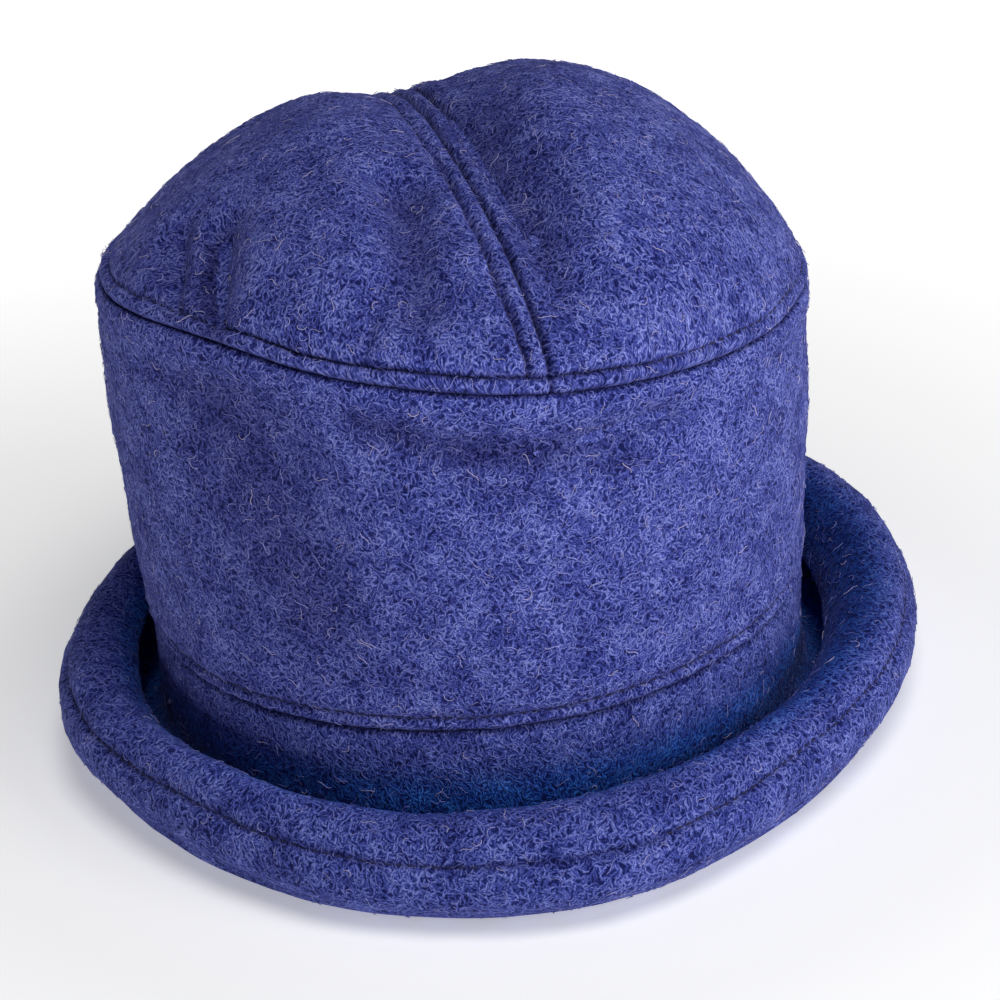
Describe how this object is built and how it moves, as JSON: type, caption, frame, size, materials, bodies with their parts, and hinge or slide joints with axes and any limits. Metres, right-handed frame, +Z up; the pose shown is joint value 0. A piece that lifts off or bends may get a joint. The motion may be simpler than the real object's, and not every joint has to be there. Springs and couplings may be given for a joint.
{
  "type": "felt hat",
  "caption": "Soft sewn felt hat with a puffed two-piece tip, an upright side band and a brim that rolls up to a thick lip.",
  "frame": {"origin": "middle of the bounding box at the surface that the brim rests on", "axes": "+Z up through the crown, -Y towards the foot of the tip's centre seam, +X to the wearer's left when -Y is the front"},
  "size_m": [0.255, 0.253, 0.1864],
  "materials": {
    "crown_felt": "deep blue wool felt, matt with short stray fibres",
    "brim_felt": "the same deep blue wool felt, two plies"
  },
  "bodies": {
    "root": {"brim": "brim_felt", "side_band": "crown_felt", "tip_left": "crown_felt", "tip_right": "crown_felt"}
  },
  "joints": []
}
